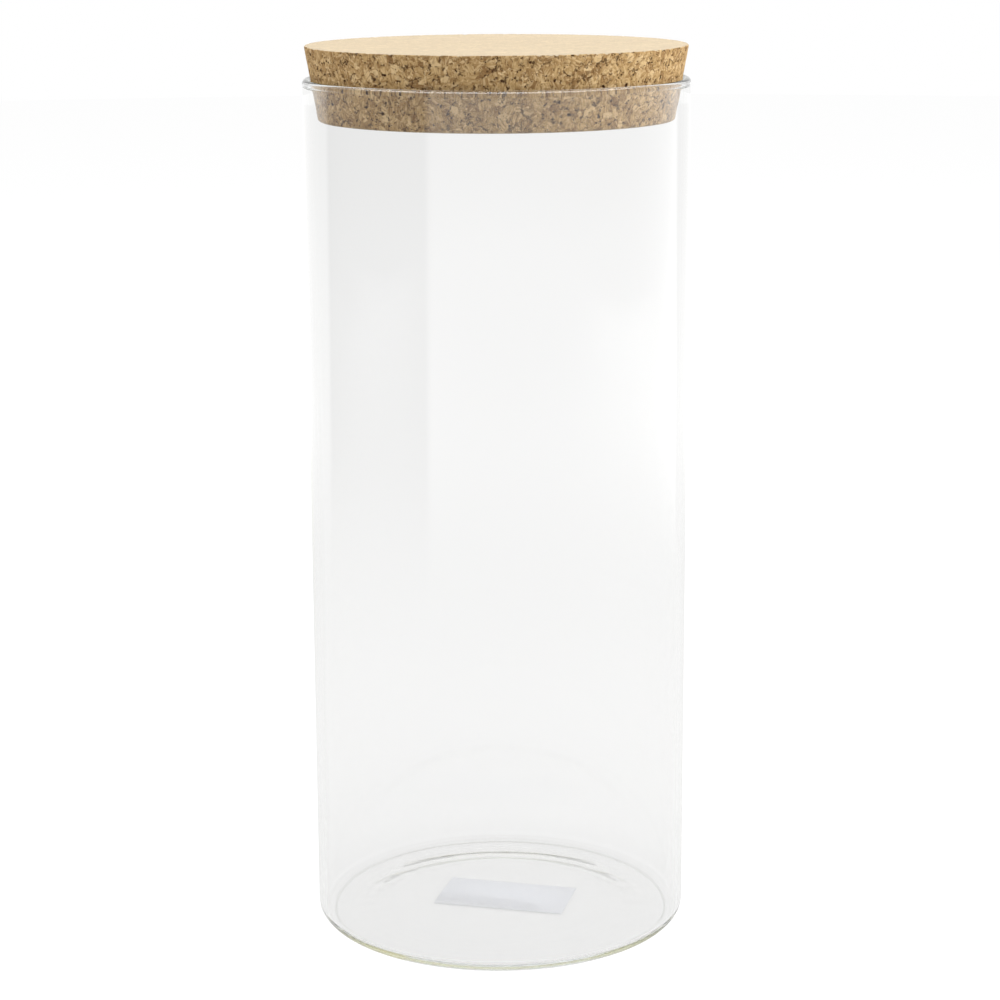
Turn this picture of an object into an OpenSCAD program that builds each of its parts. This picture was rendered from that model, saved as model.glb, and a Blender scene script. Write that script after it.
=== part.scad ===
// Tall glass storage jar with a tapered cork lid and a blank paper label under its base.
// Millimetres. The jar stands on z = 0, and its axis is the Z axis.
// The round glass vessel is blown from one tube. The lid is one block of pressed cork.

/* [Glass jar] */
// Outside diameter of the glass wall
jar_d = 100; // [85:1:150]
// Height of the glass, from the table to the rim
jar_h = 227; // [80:1:350]
// Thickness of the glass wall
wall_t = 2; // [1.4:0.1:4]
// Radius of the rounded outer corner where the wall turns into the base
heel_r = 4.1; // [2.5:0.1:8]
// Radius of the rounded inner corner between the wall and the floor
floor_r = 2; // [1:0.5:8]
// How far the fire-polished lip swells past each face of the wall
lip_bead = 0.1; // [0.05:0.05:0.4]

/* [Base of the jar] */
// Thickness of the glass in the base, over the hollow
base_t = 1.7; // [1.2:0.1:6]
// Width of the flat ring that the jar stands on
foot_w = 3.9; // [2:0.1:8]
// Height of the hollow under the base
punt_h = 0.5; // [0.3:0.1:4]
// Width of the slope that leads from the foot ring up into the hollow
punt_slope_w = 10; // [1:0.5:12]

/* [Cork lid] */
// How far the lid reaches down into the jar, below the rim
lid_depth = 10.5; // [5:0.5:25]
// How far the lid stands up above the rim
lid_rise = 8.4; // [4:0.2:25]
// Angle between the side of the lid and its axis, in degrees
lid_taper = 10.3; // [4:0.1:14]
// Radius of the worn upper edge of the lid
lid_top_edge_r = 0.4; // [0.2:0.1:1.5]
// Radius of the rounded lower edge of the lid
lid_bottom_edge_r = 0.8; // [0.2:0.1:2]
// Gap between the side of the lid and the lip that it sits in
seat_gap = 0.08; // [0.05:0.01:0.3]

/* [Paper label] */
// Length of the label
label_w = 36; // [20:1:44]
// Width of the label
label_d = 19.5; // [10:0.5:26]
// Thickness of the paper
label_t = 0.12; // [0.1:0.01:0.3]
// Radius of the label's corners
label_corner_r = 0.5; // [0.2:0.1:3]
// Turn of the label about the jar's axis, in degrees
label_turn = -14; // [-90:1:90]
// How far the middle of the label lies to the right of the jar's axis
label_x = 1.5; // [-6:0.5:6]
// How far the middle of the label lies behind the jar's axis
label_y = 3; // [-6:0.5:6]

/* [Hidden] */
$fn = 128;

// How far a cutting shape runs past the face that it cuts
cut_past = 1;

// The wall and the lip, which is a full round centred on the wall
jar_r = jar_d / 2;
inner_r = jar_r - wall_t;
lip_r = wall_t / 2 + lip_bead;
lip_centre_r = jar_r - wall_t / 2;
lip_centre_z = jar_h - lip_r;

// The foot ring starts where the heel's rounding ends, and the hollow lies inside it
foot_outer_r = jar_r - heel_r;
foot_inner_r = foot_outer_r - foot_w;
punt_r = foot_inner_r - punt_slope_w;
floor_z = punt_h + base_t;

// The lid's side passes the lip's round at seat_gap, so the lip sets the lid's radius there
lid_bottom_z = jar_h - lid_depth;
lid_top_z = jar_h + lid_rise;
lid_seat_r = lip_centre_r - (lip_r + seat_gap) / cos(lid_taper);
lid_bottom_r = lid_seat_r - (lip_centre_z - lid_bottom_z) * tan(lid_taper);
lid_top_r = lid_seat_r + (lid_top_z - lip_centre_z) * tan(lid_taper);

// Length that an edge's rounding takes from each face that meets at that angle
function rounding_reach(edge_r, angle) = edge_r / tan(angle / 2);

// Half section of a straight vessel, from the axis outwards, with its lower corner rounded
module vessel_section(r, bottom_z, top_z, corner_r) {
    translate([0, bottom_z + corner_r])
        square([r, top_z - bottom_z - corner_r]);
    translate([0, bottom_z])
        square([r - corner_r, corner_r]);
    translate([r - corner_r, bottom_z + corner_r])
        circle(corner_r);
}

// Half section of the hollow under the base: a flat roof with a sloped side
module punt_section() {
    slope = punt_h / punt_slope_w;
    polygon([
        [0, -cut_past],
        [foot_inner_r + cut_past / slope, -cut_past],
        [punt_r, punt_h],
        [0, punt_h]
    ]);
}

module glass_jar() {
    color("azure", 0.35)
        rotate_extrude() {
            difference() {
                vessel_section(jar_r, 0, lip_centre_z, heel_r);
                vessel_section(inner_r, floor_z, jar_h + cut_past, floor_r);
                punt_section();
            }
            translate([lip_centre_r, lip_centre_z])
                circle(lip_r);
        }
}

// Half section of the lid: a cone frustum, wider at the top, with rounded edges
module lid_section() {
    bottom_reach = rounding_reach(lid_bottom_edge_r, 90 + lid_taper);
    top_reach = rounding_reach(lid_top_edge_r, 90 - lid_taper);
    polygon([
        [0, lid_bottom_z],
        [lid_bottom_r - bottom_reach, lid_bottom_z],
        [lid_bottom_r + bottom_reach * sin(lid_taper), lid_bottom_z + bottom_reach * cos(lid_taper)],
        [lid_top_r - top_reach * sin(lid_taper), lid_top_z - top_reach * cos(lid_taper)],
        [lid_top_r - top_reach, lid_top_z],
        [0, lid_top_z]
    ]);
    translate([lid_bottom_r - bottom_reach, lid_bottom_z + lid_bottom_edge_r])
        circle(lid_bottom_edge_r);
    translate([lid_top_r - top_reach, lid_top_z - lid_top_edge_r])
        circle(lid_top_edge_r);
}

module cork_lid() {
    color("burlywood")
        rotate_extrude()
            lid_section();
}

// A rectangle about the origin with its corners rounded
module rounded_rectangle(w, d, corner_r) {
    square([w - 2 * corner_r, d], center = true);
    square([w, d - 2 * corner_r], center = true);
    for (side_x = [-1, 1], side_y = [-1, 1])
        translate([side_x * (w / 2 - corner_r), side_y * (d / 2 - corner_r)])
            circle(corner_r);
}

// The label is stuck to the roof of the hollow under the base, so it stays clear of the table
module base_label() {
    color("white")
        translate([label_x, label_y, punt_h - label_t])
            rotate(label_turn)
                linear_extrude(label_t)
                    rounded_rectangle(label_w, label_d, label_corner_r);
}

glass_jar();
cork_lid();
base_label();
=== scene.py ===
from math import atan2, cos, pi, radians, sin, tan

import bpy
import numpy as np
from mathutils import Matrix, Vector


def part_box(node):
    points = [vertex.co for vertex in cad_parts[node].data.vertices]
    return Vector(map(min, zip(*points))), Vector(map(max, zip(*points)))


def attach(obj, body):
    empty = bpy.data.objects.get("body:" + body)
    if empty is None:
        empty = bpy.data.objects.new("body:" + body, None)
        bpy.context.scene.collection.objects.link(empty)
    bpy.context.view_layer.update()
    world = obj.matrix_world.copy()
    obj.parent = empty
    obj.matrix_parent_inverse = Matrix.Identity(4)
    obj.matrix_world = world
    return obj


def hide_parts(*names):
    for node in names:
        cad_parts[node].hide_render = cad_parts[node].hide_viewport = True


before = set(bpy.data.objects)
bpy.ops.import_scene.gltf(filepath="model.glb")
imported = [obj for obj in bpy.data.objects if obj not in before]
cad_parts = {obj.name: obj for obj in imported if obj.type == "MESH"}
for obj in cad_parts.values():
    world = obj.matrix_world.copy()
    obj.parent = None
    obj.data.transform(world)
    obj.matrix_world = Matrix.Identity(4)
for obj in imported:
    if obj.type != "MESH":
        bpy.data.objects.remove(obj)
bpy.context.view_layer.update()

scene = bpy.context.scene
scene.view_settings.view_transform = "Standard"

# Camera: a long lens a little above the lid, looking down at the jar's middle.
# Its place, aim and lens were fitted to the jar's sides, rim, lid and foot.
camera_place = Vector((0.00162, -0.68899, 0.2737))
look_down = radians(12.975)
look_left = radians(0.1015)
camera_roll = radians(-0.2652)
camera_data = bpy.data.cameras.new("camera")
camera_data.lens = 95.11
camera_data.sensor_width = 36
ahead = Vector((-sin(look_left) * cos(look_down), cos(look_left) * cos(look_down), -sin(look_down)))
level_right = Vector((cos(look_left), sin(look_left), 0))
level_up = level_right.cross(ahead)
right = cos(camera_roll) * level_right + sin(camera_roll) * level_up
up = cos(camera_roll) * level_up - sin(camera_roll) * level_right
camera = bpy.data.objects.new("camera", camera_data)
turned = Matrix((right, up, -ahead)).transposed().to_4x4()
camera.matrix_world = Matrix.Translation(camera_place) @ turned
scene.collection.objects.link(camera)
scene.camera = camera

# Glass jar: one piece of clear tube glass, blown with a straight wall.
# Its lip is melted round, its heel is rounded, and it stands on a flat ring about a shallow hollow
# whose slope the tool left a little wavy. Where the ring meets the table it is rougher as scuffed wear, and tinted
# darker as painted contact shadow.
rim_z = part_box("glass_jar")[1].z
jar_r = 0.05
wall = 0.002
lip_r = wall / 2 + 0.0001
heel_r = 0.0041
floor_z = 0.0022
corner_w, corner_h = 0.003, 0.0012
hollow_h = 0.0005
hollow_shape = ((0.0, 1.0), (0.028, 1.0), (0.031, 0.94), (0.0405, 0.06), (0.042, 0.0), (0.0459, 0.0))
jar_sides = 320
wall_rings = 46


def put(tree, kind, inputs=None, **settings):
    """A new node with its settings, and its inputs linked or set."""
    made = tree.nodes.new(kind)
    for name, value in settings.items():
        setattr(made, name, value)
    for name, value in (inputs or {}).items():
        if isinstance(value, bpy.types.NodeSocket):
            tree.links.new(value, made.inputs[name])
        else:
            made.inputs[name].default_value = value
    return made


def maths(tree, operation, *values, clamp=False):
    """The result of a Math node on those values or sockets."""
    made = put(tree, "ShaderNodeMath", dict(enumerate(values)), operation=operation, use_clamp=clamp)
    return made.outputs[0]


def mixed(tree, share, first, second):
    """Two colours or numbers mixed by a share from 0 to 1."""
    colours = isinstance(first, tuple) or getattr(first, "type", "") == "RGBA"
    kind, start = ("RGBA", 6) if colours else ("FLOAT", 2)
    made = put(tree, "ShaderNodeMix", {0: share, start: first, start + 1: second}, data_type=kind)
    return made.outputs[2 if kind == "RGBA" else 0]


def ramp(tree, value, low, high, to_low=0.0, to_high=1.0):
    """The value taken smoothly from the range low to high to the range to_low to to_high."""
    inputs = {0: value, 1: low, 2: high, 3: to_low, 4: to_high}
    return put(tree, "ShaderNodeMapRange", inputs, interpolation_type="SMOOTHSTEP").outputs[0]


def arc(centre, radius, start, end, steps):
    """Points (r, z) along an arc, with the angles in degrees from straight outwards."""
    turns = np.radians(np.linspace(start, end, steps))
    return [(centre[0] + radius * cos(t), centre[1] + radius * sin(t)) for t in turns]


def curve(knots, steps):
    """Points (x, y) on a smooth curve through the knots, which never overshoots them."""
    x, y = np.array(knots).T
    rise = np.diff(y) / np.diff(x)
    same_way = rise[1:] * rise[:-1] > 0
    middle = np.where(same_way, 2 * rise[1:] * rise[:-1] / np.where(same_way, rise[1:] + rise[:-1], 1), 0)
    lean = np.concatenate(([0], middle, [0]))
    found = []
    for at in np.linspace(x[0], x[-1], steps):
        i = min(int(np.searchsorted(x, at, side="right")) - 1, len(x) - 2)
        width = x[i + 1] - x[i]
        t = (at - x[i]) / width
        rest = y[i] * (2 * t ** 3 - 3 * t ** 2 + 1) + y[i + 1] * (3 * t ** 2 - 2 * t ** 3)
        leaning = lean[i] * (t ** 3 - 2 * t ** 2 + t) + lean[i + 1] * (t ** 3 - t ** 2)
        found.append((at, rest + width * leaning))
    return found


def lathe(name, profile, sides):
    """A closed mesh turned from points (r, z); the first and the last lie on the axis."""
    inner = profile[1:-1]
    rings = len(inner)
    turns = np.arange(sides) * 2 * pi / sides
    r, z = np.array(inner).T
    across = (np.outer(r, np.cos(turns)), np.outer(r, np.sin(turns)), np.outer(z, np.ones(sides)))
    places = np.stack(across, axis=2)
    points = [(0, 0, profile[0][1]), *map(tuple, places.reshape(-1, 3)), (0, 0, profile[-1][1])]
    here = np.arange(sides)
    on = (here + 1) % sides
    faces = [(0, 1 + b, 1 + a) for a, b in zip(here, on)]
    for ring in range(rings - 1):
        low, high = 1 + ring * sides, 1 + (ring + 1) * sides
        faces += [(low + a, low + b, high + b, high + a) for a, b in zip(here, on)]
    top = 1 + (rings - 1) * sides
    faces += [(top + a, top + b, len(points) - 1) for a, b in zip(here, on)]
    mesh = bpy.data.meshes.new(name)
    mesh.from_pydata(points, [], faces)
    mesh.shade_smooth()
    made = bpy.data.objects.new(name, mesh)
    scene.collection.objects.link(made)
    return made


inner_r = jar_r - wall
lip_centre = (jar_r - wall / 2, rim_z - lip_r)
wall_heights = np.linspace(heel_r + 0.0005, lip_centre[1] - lip_r, wall_rings)
hollow_wave_h, hollow_wave_w, hollow_wave_r, hollow_wave_reach = 0.0000045, 0.0028, 0.037, 0.005
jar_profile = [(0, hollow_h)]
for r, share in curve(hollow_shape, 120)[6:-1]:
    from_middle = r - hollow_wave_r
    waves = cos(2 * pi * from_middle / hollow_wave_w) * np.exp(-((from_middle / hollow_wave_reach) ** 2))
    jar_profile.append((r, hollow_h * share + hollow_wave_h * waves * (0.01 < share < 0.999)))
jar_profile += arc((jar_r - heel_r, heel_r), heel_r, -90, 0, 33)
jar_profile += [(jar_r, z) for z in wall_heights]
jar_profile += arc(lip_centre, lip_r, -24, 204, 25)
jar_profile += [(inner_r, z) for z in wall_heights[::-1]]
for across, down in arc((0, 0), 1, 0, -90, 33):
    jar_profile.append((inner_r - corner_w * (1 - across), floor_z + corner_h * (1 + down)))
jar_profile += [(r, floor_z) for r in np.linspace(inner_r - corner_w - 0.002, 0.004, 13)]
jar_profile += [(0, floor_z)]
glass = lathe("clear_glass_jar", jar_profile, jar_sides)


def uneven(points, seed, counts, reach):
    """Gentle waves about the axis, between -reach and reach, that fade in and out with height."""
    draw = np.random.default_rng(seed)
    turn = np.arctan2(points[:, 1], points[:, 0])
    total = np.zeros(len(points))
    for count in counts:
        lean, phase, share = draw.uniform(-60, 60), draw.uniform(0, 2 * pi), draw.uniform(0.4, 1)
        total += share * np.sin(count * turn + lean * points[:, 2] + phase)
    return reach * total / len(counts)


places = np.zeros(len(glass.data.vertices) * 3)
glass.data.vertices.foreach_get("co", places)
places = places.reshape(-1, 3)
radius = np.hypot(places[:, 0], places[:, 1])
near_slope = np.exp(-((radius - hollow_wave_r) / 0.004) ** 2) * (places[:, 2] < floor_z - 0.0005)
near_slope *= np.clip(places[:, 2] / 0.0001, 0, 1)
places[:, 2] += near_slope * uneven(places, 4, (3, 7, 11, 19, 26, 41), 0.00002)
inside_wall = (np.abs(radius - inner_r) < 0.0002) * (places[:, 2] < rim_z - 0.02)
push = inside_wall * uneven(places, 9, (2, 5, 8, 13), 0.00003)
places[:, :2] *= (1 + push / np.maximum(radius, 0.001))[:, None]
glass.data.vertices.foreach_set("co", places.ravel())

glass_ior = 1.474
glass_tint = (0.82, 0.95, 0.2, 1)
glass_depth = 1.5
contact_ring_r, contact_ring_w = 0.04555, 0.0004

material = bpy.data.materials.new("clear_glass")
material.use_nodes = True
tree = material.node_tree
tree.nodes.clear()
spot = put(tree, "ShaderNodeTexCoord").outputs["Object"]
drawn = put(tree, "ShaderNodeVectorMath", {0: spot, 1: (90, 90, 7)}, operation="MULTIPLY").outputs[0]
draw_lines = put(tree, "ShaderNodeTexNoise", {"Vector": drawn, "Scale": 1.0, "Detail": 2.0}).outputs["Fac"]
ripple = put(tree, "ShaderNodeBump", {"Height": draw_lines, "Strength": 0.06, "Distance": 0.0004})
haze = put(tree, "ShaderNodeTexNoise", {"Vector": spot, "Scale": 55.0, "Detail": 4.0}).outputs["Fac"]
dull = put(tree, "ShaderNodeMapRange", {0: haze, 1: 0.62, 2: 0.8, 3: 0.0, 4: 0.02}).outputs[0]
place = put(tree, "ShaderNodeSeparateXYZ", {0: spot}).outputs
level = put(tree, "ShaderNodeCombineXYZ", {0: place[0], 1: place[1]}).outputs[0]
out_from_axis = put(tree, "ShaderNodeVectorMath", {0: level}, operation="LENGTH").outputs["Value"]
# A thin ring where the foot meets the table: rougher as scuffed wear, and its colour tinted darker as painted
# contact shadow.
off_contact_ring = maths(tree, "ABSOLUTE", maths(tree, "SUBTRACT", out_from_axis, contact_ring_r))
scuff_and_contact_shade = ramp(tree, off_contact_ring, contact_ring_w * 0.3, contact_ring_w, 1.0, 0.0)
scuff_and_contact_shade = maths(tree, "MULTIPLY", scuff_and_contact_shade, ramp(tree, place[2], 0.0002, 0.0006, 1.0, 0.0))
surface = put(tree, "ShaderNodeBsdfPrincipled", {
    "Base Color": mixed(tree, scuff_and_contact_shade, (1.0, 1.0, 1.0, 1), (0.8, 0.82, 0.78, 1)),
    "Transmission Weight": 1.0, "IOR": glass_ior,
    "Roughness": maths(tree, "ADD", dull, maths(tree, "MULTIPLY", scuff_and_contact_shade, 0.4)), "Normal": ripple.outputs[0],
})
depth = put(tree, "ShaderNodeVolumeAbsorption", {"Color": glass_tint, "Density": glass_depth})
out = put(tree, "ShaderNodeOutputMaterial", {"Surface": surface.outputs[0], "Volume": depth.outputs[0]})
glass.data.materials.append(material)
glass.visible_shadow = False
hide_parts("glass_jar")
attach(glass, "jar")

# Cork lid: a block of pressed cork, ground to a cone that wedges in the lip.
# Granules of 1 to 4 mm are glued together, with pits and cracks between them.
# The faces are sanded smooth and painted paler, partly as sanding dust and partly as painted light from above; the
# side is left rough, and the top edge is chipped.
lid_low, lid_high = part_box("cork_lid")
lid_taper = radians(10.3)
seat_gap = 0.00008
edge_chip = 0.0004
lid_seat_r = lip_centre[0] - (lip_r + seat_gap) / cos(lid_taper)
lid_bottom_r = lid_seat_r - (lip_centre[1] - lid_low.z) * tan(lid_taper)
lid_top_r = lid_seat_r + (lid_high.z - lip_centre[1]) * tan(lid_taper)


def bend(corner, before, after, radius, steps):
    """Points (r, z) that round the corner between two other points with an arc of that radius."""
    corner, before, after = (np.array(p) for p in (corner, before, after))
    back = (before - corner) / np.linalg.norm(before - corner)
    on = (after - corner) / np.linalg.norm(after - corner)
    half = np.arccos(back @ on) / 2
    centre = corner + (back + on) / np.linalg.norm(back + on) * radius / sin(half)
    start = atan2(*(corner + back * radius / tan(half) - centre)[::-1])
    end = atan2(*(corner + on * radius / tan(half) - centre)[::-1])
    sweep = (end - start + pi) % (2 * pi) - pi
    return arc(centre, radius, np.degrees(start), np.degrees(start + sweep), steps)


lid_profile = [(0, lid_low.z)]
lid_profile += [(r, lid_low.z) for r in np.linspace(0.003, lid_bottom_r - 0.002, 16)]
lower, upper = (lid_bottom_r, lid_low.z), (lid_top_r, lid_high.z)
lid_profile += bend(lower, (0, lid_low.z), upper, 0.0008, 5)
lid_profile += list(zip(*np.linspace(lower, upper, 56)[3:-2].T))
lid_profile += bend(upper, lower, (0, lid_high.z), 0.0004, 4)
lid_profile += [(lid_top_r - 0.0009 - (lid_top_r - 0.004) * (s / 27) ** 1.3, lid_high.z) for s in range(28)]
lid_profile += [(0, lid_high.z)]
cork = lathe("pressed_cork_lid", lid_profile, 800)


def bent(tree, spot, per_metre, reach):
    """The spot moved about by soft noise, so that straight edges come out curved."""
    sway = put(tree, "ShaderNodeTexNoise", {"Vector": spot, "Scale": per_metre, "Detail": 2.0})
    middle = (0.5, 0.5, 0.5)
    sway = put(tree, "ShaderNodeVectorMath", {0: sway.outputs["Color"], 1: middle}, operation="SUBTRACT").outputs[0]
    sway = put(tree, "ShaderNodeVectorMath", {0: sway, "Scale": reach}, operation="SCALE").outputs[0]
    return put(tree, "ShaderNodeVectorMath", {0: spot, 1: sway}, operation="ADD").outputs[0]


def cork_pattern(tree, spot):
    """The sockets tone, gap, pit and grain of pressed cork at a spot in metres."""
    curved = bent(tree, bent(tree, spot, 480.0, 0.0022), 1500.0, 0.0009)
    cells = {}
    for size, per_metre in (("large", 520.0), ("small", 1150.0)):
        inputs = {"Vector": curved, "Scale": per_metre, "Randomness": 1.0}
        cell = put(tree, "ShaderNodeTexVoronoi", inputs).outputs["Color"]
        edge = put(tree, "ShaderNodeTexVoronoi", inputs, feature="DISTANCE_TO_EDGE").outputs["Distance"]
        parts = put(tree, "ShaderNodeSeparateXYZ", {0: cell}).outputs
        cells[size] = {"cell": cell, "edge": edge, "first": parts[0], "second": parts[1]}
    large, small = cells["large"], cells["small"]
    whole = maths(tree, "GREATER_THAN", large["first"], 0.45)
    tone = mixed(tree, whole, small["second"], large["second"])
    turn = mixed(tree, whole, small["cell"], large["cell"])
    turn = put(tree, "ShaderNodeVectorMath", {0: turn, "Scale": 6.28}, operation="SCALE").outputs[0]
    turned = put(tree, "ShaderNodeVectorRotate", {"Vector": spot, "Rotation": turn}, rotation_type="EULER_XYZ")
    drawn = {0: turned.outputs[0], 1: (420, 420, 2600)}
    layers = put(tree, "ShaderNodeVectorMath", drawn, operation="MULTIPLY").outputs[0]
    grain = put(tree, "ShaderNodeTexNoise", {"Vector": layers, "Scale": 1.0, "Detail": 3.0}).outputs["Fac"]
    width = put(tree, "ShaderNodeTexNoise", {"Vector": spot, "Scale": 700.0, "Detail": 2.0}).outputs["Fac"]
    large_gap = maths(tree, "LESS_THAN", large["edge"], ramp(tree, width, 0.52, 0.7, 0.0, 0.1))
    small_gap = maths(tree, "LESS_THAN", small["edge"], ramp(tree, width, 0.52, 0.7, 0.0, 0.17))
    small_gap = maths(tree, "MULTIPLY", small_gap, maths(tree, "SUBTRACT", 1.0, whole))
    gap = maths(tree, "MAXIMUM", large_gap, small_gap)
    pit = 0.0
    for per_metre, kept, widest in ((700.0, 0.78, 0.34), (1400.0, 0.6, 0.45)):
        hole = put(tree, "ShaderNodeTexVoronoi", {"Vector": curved, "Scale": per_metre, "Randomness": 1.0})
        reach = put(tree, "ShaderNodeSeparateXYZ", {0: hole.outputs["Color"]}).outputs[0]
        reach = ramp(tree, reach, kept, 1.0, 0.0, widest)
        pit = maths(tree, "MAXIMUM", pit, maths(tree, "LESS_THAN", hole.outputs["Distance"], reach))
    return {"tone": tone, "gap": gap, "pit": pit, "grain": grain}


def shader_group(name, inputs, outputs):
    """An empty node group with those (kind, name) sockets, and its two end nodes."""
    group = bpy.data.node_groups.new(name, "ShaderNodeTree")
    for side, sockets in (("INPUT", inputs), ("OUTPUT", outputs)):
        for kind, label in sockets:
            group.interface.new_socket(name=label, in_out=side, socket_type=kind)
    return group, group.nodes.new("NodeGroupInput"), group.nodes.new("NodeGroupOutput")


granules, given, result = shader_group(
    "cork_granules",
    [("NodeSocketVector", "Place")],
    [("NodeSocketFloat", n) for n in ("Tone", "Gap", "Pit", "Grain")],
)
for label, socket in cork_pattern(granules, given.outputs["Place"]).items():
    granules.links.new(socket, result.inputs[label.capitalize()])

relief = bpy.data.node_groups.new("cork_relief", "GeometryNodeTree")
for side in ("INPUT", "OUTPUT"):
    relief.interface.new_socket(name="Geometry", in_out=side, socket_type="NodeSocketGeometry")
given, result = relief.nodes.new("NodeGroupInput"), relief.nodes.new("NodeGroupOutput")
spot = put(relief, "GeometryNodeInputPosition").outputs[0]
found = cork_pattern(relief, spot)
facing = put(relief, "GeometryNodeInputNormal").outputs[0]
level = maths(relief, "ABSOLUTE", put(relief, "ShaderNodeSeparateXYZ", {0: facing}).outputs[2])
ground = ramp(relief, level, 0.5, 0.9, 1.0, 0.12)
sink = maths(relief, "MULTIPLY", found["gap"], 0.00018)
sink = maths(relief, "ADD", sink, maths(relief, "MULTIPLY", found["pit"], 0.0004))
sink = maths(relief, "ADD", sink, maths(relief, "MULTIPLY", found["tone"], 0.00008))
sink = maths(relief, "MULTIPLY", sink, ground)
axes = put(relief, "ShaderNodeSeparateXYZ", {0: spot}).outputs
level = put(relief, "ShaderNodeCombineXYZ", {0: axes[0], 1: axes[1]}).outputs[0]
out_from_axis = put(relief, "ShaderNodeVectorMath", {0: level}, operation="LENGTH").outputs["Value"]
at_edge = ramp(relief, out_from_axis, lid_top_r - 0.0012, lid_top_r - 0.0003)
at_edge = maths(relief, "MULTIPLY", at_edge, ramp(relief, axes[2], lid_high.z - 0.0012, lid_high.z - 0.0003))
broken = put(relief, "ShaderNodeTexNoise", {"Vector": spot, "Scale": 650.0, "Detail": 3.0}).outputs["Fac"]
chip = maths(relief, "MULTIPLY", ramp(relief, broken, 0.54, 0.66, 0.0, edge_chip), at_edge)
sink = maths(relief, "MULTIPLY", maths(relief, "ADD", sink, chip), -1.0)
shift = put(relief, "ShaderNodeVectorMath", {0: facing, "Scale": sink}, operation="SCALE").outputs[0]
moved = put(relief, "GeometryNodeSetPosition", {"Geometry": given.outputs[0], "Offset": shift})
relief.links.new(moved.outputs[0], result.inputs[0])
cork.modifiers.new("relief", "NODES").node_group = relief
bpy.context.view_layer.objects.active = cork
with bpy.context.temp_override(object=cork, active_object=cork, selected_objects=[cork]):
    bpy.ops.object.modifier_apply(modifier="relief")

material = bpy.data.materials.new("pressed_cork")
material.use_nodes = True
tree = material.node_tree
tree.nodes.clear()
spot = put(tree, "ShaderNodeTexCoord").outputs["Object"]
found = put(tree, "ShaderNodeGroup", {}, node_tree=granules)
tree.links.new(spot, found.inputs["Place"])
brown = put(tree, "ShaderNodeValToRGB", {0: found.outputs["Tone"]})
stops = brown.color_ramp.elements
stops[0].position, stops[0].color = 0.0, (0.27, 0.155, 0.062, 1)
stops[1].position, stops[1].color = 1.0, (0.68, 0.49, 0.26, 1)
for position, colour in ((0.25, (0.4, 0.25, 0.105, 1)), (0.8, (0.5, 0.33, 0.145, 1))):
    stops.new(position).color = colour
pale = ramp(tree, found.outputs["Grain"], 0.5, 0.68, 0.0, 0.6)
colour = mixed(tree, pale, brown.outputs[0], (0.72, 0.53, 0.3, 1))
colour = mixed(tree, ramp(tree, found.outputs["Grain"], 0.5, 0.34, 0.0, 0.6), colour, (0.19, 0.095, 0.035, 1))
sanded_and_lit_faces = put(tree, "ShaderNodeNewGeometry").outputs["Normal"]
sanded_and_lit_faces = put(tree, "ShaderNodeSeparateXYZ", {0: sanded_and_lit_faces}).outputs[2]
sanded_and_lit_faces = ramp(tree, maths(tree, "ABSOLUTE", sanded_and_lit_faces), 0.6, 0.9)
# Gaps and pits are painted near black as painted shade in the recesses, less so on the sanded faces.
gap_and_pit_shade = maths(tree, "MAXIMUM", maths(tree, "MULTIPLY", found.outputs["Gap"], 0.75), found.outputs["Pit"])
gap_and_pit_shade = maths(tree, "MULTIPLY", gap_and_pit_shade, maths(tree, "SUBTRACT", 1.0, maths(tree, "MULTIPLY", sanded_and_lit_faces, 0.75)))
colour = mixed(tree, gap_and_pit_shade, colour, (0.055, 0.024, 0.01, 1))
# The flat faces are painted paler, partly as sanding dust and partly as painted light from above.
colour = mixed(tree, maths(tree, "MULTIPLY", sanded_and_lit_faces, 0.72), colour, (0.61, 0.53, 0.4, 1))
fine = put(tree, "ShaderNodeTexNoise", {"Vector": spot, "Scale": 2600.0, "Detail": 3.0}).outputs["Fac"]
rise = put(tree, "ShaderNodeBump", {"Height": fine, "Strength": 0.5, "Distance": 0.0002})
surface = put(tree, "ShaderNodeBsdfPrincipled", {
    "Base Color": colour, "Roughness": ramp(tree, fine, 0.3, 0.7, 0.75, 0.95), "Normal": rise.outputs[0],
    "Specular IOR Level": 0.15,
})
put(tree, "ShaderNodeOutputMaterial", {"Surface": surface.outputs[0]})
cork.data.materials.append(material)
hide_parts("cork_lid")
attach(cork, "lid")

# Paper label: a small blank white sticker on the roof of the hollow under the base.
# Its glued side shows through the glass, and its front edge has come loose in waves.
label_w, label_d, label_t = 0.036, 0.0195, 0.00012
label_turn = radians(-14)
glued_in = 0.00002
label_middle = Vector((0.0015, 0.003, hollow_h + glued_in))
across, along = 72, 40
points = []
for side in (0, 1):
    for v in np.linspace(-0.5, 0.5, along + 1):
        for u in np.linspace(-0.5, 0.5, across + 1):
            x, y = u * label_w, v * label_d
            loose = np.exp(-(y + label_d / 2) / 0.0012)
            waves = 0.00018 + 0.00006 * sin(x * 900) + 0.00005 * sin(x * 2300 + 1)
            drop = loose * waves * max(0.0, 0.3 - u)
            place = Matrix.Rotation(label_turn, 3, "Z") @ Vector((x, y, -drop - side * label_t))
            points.append(place + label_middle)
row = across + 1
sheet = row * (along + 1)
faces = []
for j in range(along):
    for i in range(across):
        a = j * row + i
        faces.append((a, a + 1, a + row + 1, a + row))
        faces.append((sheet + a, sheet + a + row, sheet + a + row + 1, sheet + a + 1))
edge = [j * row for j in range(along + 1)][::-1] + list(range(1, row))
edge += [j * row + across for j in range(1, along + 1)] + [along * row + i for i in range(across)][::-1]
for a, b in zip(edge, edge[1:]):
    faces.append((a, sheet + a, sheet + b, b))
mesh = bpy.data.meshes.new("blank_label")
mesh.from_pydata(points, [], faces)
mesh.shade_smooth()
mesh.set_sharp_from_angle(angle=radians(50))
label = bpy.data.objects.new("blank_label", mesh)
scene.collection.objects.link(label)
material = bpy.data.materials.new("label_paper")
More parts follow.
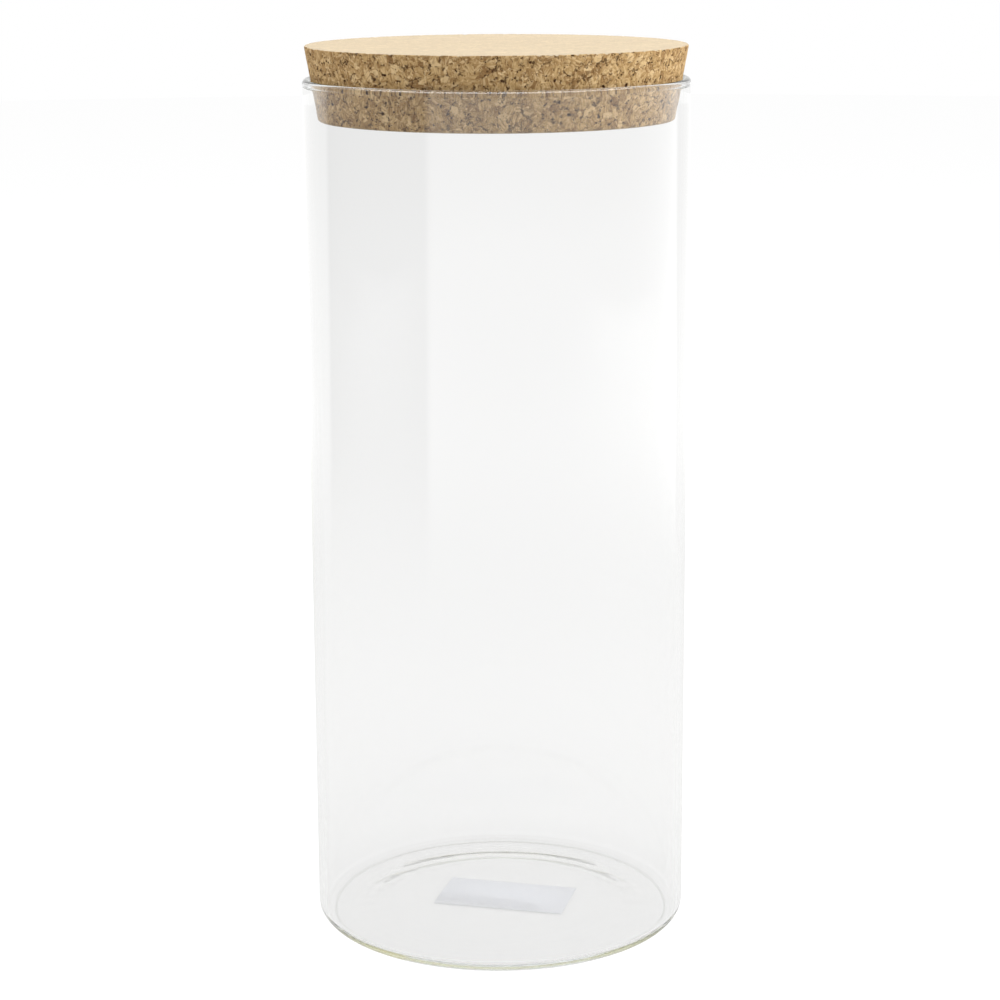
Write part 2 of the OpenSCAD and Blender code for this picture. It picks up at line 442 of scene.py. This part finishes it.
material.use_nodes = True
tree = material.node_tree
tree.nodes.clear()
spot = put(tree, "ShaderNodeTexCoord").outputs["Object"]
fibre = put(tree, "ShaderNodeTexNoise", {"Vector": spot, "Scale": 900.0, "Detail": 4.0}).outputs["Fac"]
colour = mixed(tree, fibre, (0.76, 0.775, 0.82, 1), (0.82, 0.825, 0.85, 1))
rise = put(tree, "ShaderNodeBump", {"Height": fibre, "Strength": 0.3, "Distance": 0.00005})
surface = put(tree, "ShaderNodeBsdfPrincipled", {
    "Base Color": colour, "Roughness": ramp(tree, fibre, 0.3, 0.7, 0.6, 0.8), "Normal": rise.outputs[0],
})
put(tree, "ShaderNodeOutputMaterial", {"Surface": surface.outputs[0]})
label.data.materials.append(material)
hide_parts("base_label")
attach(label, "jar")

# Table: a plain white top with soft shadow, which fades into the white room.
# In the glass it shows the same bright right side and dark left front as the room.
table_r = 3.0
table_z = -0.00003
table_sides = 96
open_white = 0.8
# The table's glow is painted lower under and near the jar, as painted shadow of the jar.
shaded_under_glass, beside_glass, far_from_glass = 0.535, 0.56, 0.65
mesh = bpy.data.meshes.new("table_top")
edge = [2 * pi * i / table_sides for i in range(table_sides)]
corners = [(table_r * cos(t), table_r * sin(t), table_z) for t in edge]
mesh.from_pydata(corners, [], [tuple(range(table_sides))])
table = bpy.data.objects.new("table_top", mesh)
scene.collection.objects.link(table)

room, given, result = shader_group(
    "mirrored_room", [("NodeSocketVector", "Direction")], [("NodeSocketFloat", "Level")]
)
parts = put(room, "ShaderNodeSeparateXYZ", {0: given.outputs["Direction"]}).outputs
turn = maths(room, "ARCTAN2", parts[0], maths(room, "MULTIPLY", parts[1], -1.0))
low = ramp(room, parts[2], 0.3, 0.6, 1.0, 0.0)
level = mixed(room, ramp(room, parts[2], 0.6, 0.85), 0.95, 8.0)
for start, end, soft, shade in ((-118, -40, 3.0, 0.15), (-40, 133, 3.0, 1.9)):
    begun = ramp(room, turn, radians(start - soft), radians(start + soft))
    ended = ramp(room, turn, radians(end - soft), radians(end + soft), 1.0, 0.0)
    level = mixed(room, maths(room, "MULTIPLY", maths(room, "MULTIPLY", begun, ended), low), level, shade)
room.links.new(level, result.inputs["Level"])

material = bpy.data.materials.new("white_table")
material.use_nodes = True
tree = material.node_tree
tree.nodes.clear()
spot = put(tree, "ShaderNodeTexCoord").outputs["Object"]
away = put(tree, "ShaderNodeVectorMath", {0: spot}, operation="LENGTH").outputs["Value"]
mirrored = put(tree, "ShaderNodeGroup", {}, node_tree=room)
tree.links.new(spot, mirrored.inputs["Direction"])
mirrored = mixed(tree, ramp(tree, away, 0.35, 0.8), shaded_under_glass, mirrored.outputs["Level"])
through = mixed(tree, ramp(tree, away, 0.05, 0.08), shaded_under_glass, beside_glass)
through = mixed(tree, ramp(tree, away, 0.3, 1.5), through, far_from_glass)
ray = put(tree, "ShaderNodeLightPath").outputs
seen = maths(tree, "MAXIMUM", ray["Is Glossy Ray"], ray["Is Transmission Ray"])
seen = maths(tree, "MAXIMUM", seen, ray["Is Camera Ray"])
glow = mixed(tree, ray["Is Transmission Ray"], mirrored, through)
glow = mixed(tree, ray["Is Camera Ray"], glow, open_white)
shine = put(tree, "ShaderNodeEmission", {"Color": (1, 1, 1, 1), "Strength": glow})
shadow = put(tree, "ShaderNodeBsdfDiffuse", {"Color": (0.3, 0.3, 0.3, 1)})
shown = put(tree, "ShaderNodeAddShader", {0: shine.outputs[0], 1: shadow.outputs[0]})
plain = put(tree, "ShaderNodeBsdfDiffuse", {"Color": (0.8, 0.8, 0.8, 1)})
both = put(tree, "ShaderNodeMixShader", {0: seen, 1: plain.outputs[0], 2: shown.outputs[0]})
put(tree, "ShaderNodeOutputMaterial", {"Surface": both.outputs[0]})
table.data.materials.append(material)

# Room and lamps: a white room, with a large soft light at the right and overhead.
# Glass mirrors a bright right side and a dark panel at the left front.
world = bpy.data.worlds.new("white_room")
world.use_nodes = True
scene.world = world
tree = world.node_tree
tree.nodes.clear()
ray = put(tree, "ShaderNodeLightPath").outputs
mirrored = put(tree, "ShaderNodeGroup", {}, node_tree=room)
tree.links.new(put(tree, "ShaderNodeTexCoord").outputs["Generated"], mirrored.inputs["Direction"])
level = mixed(tree, ray["Is Glossy Ray"], 0.6, mirrored.outputs["Level"])
level = mixed(tree, ray["Is Transmission Ray"], level, 0.92)
level = mixed(tree, ray["Is Camera Ray"], level, 1.0)
backdrop = put(tree, "ShaderNodeBackground", {"Color": (1, 1, 1, 1), "Strength": level})
put(tree, "ShaderNodeOutputWorld", {"Surface": backdrop.outputs[0]})

for name, place, size, watts in (
    ("lamp_above", (0.1, -0.1, 1.3), 0.9, 7.0),
    ("lamp_right", (1.0, -0.15, 0.5), 0.8, 8.0),
    ("lamp_left", (-1.0, -0.1, 0.5), 0.6, 2.6),
):
    lamp_data = bpy.data.lights.new(name, "AREA")
    lamp_data.shape = "SQUARE"
    lamp_data.size = size
    lamp_data.energy = watts
    lamp = bpy.data.objects.new(name, lamp_data)
    lamp.location = place
    lamp.rotation_euler = (Vector(place) - Vector((0, 0, 0.15))).to_track_quat("Z", "Y").to_euler()
    lamp.visible_camera = False
    lamp.visible_glossy = False
    lamp.visible_transmission = False
    scene.collection.objects.link(lamp)

guided_bounces = 100
scene.cycles.max_bounces = guided_bounces
scene.cycles.transmission_bounces = guided_bounces
scene.cycles.glossy_bounces = guided_bounces
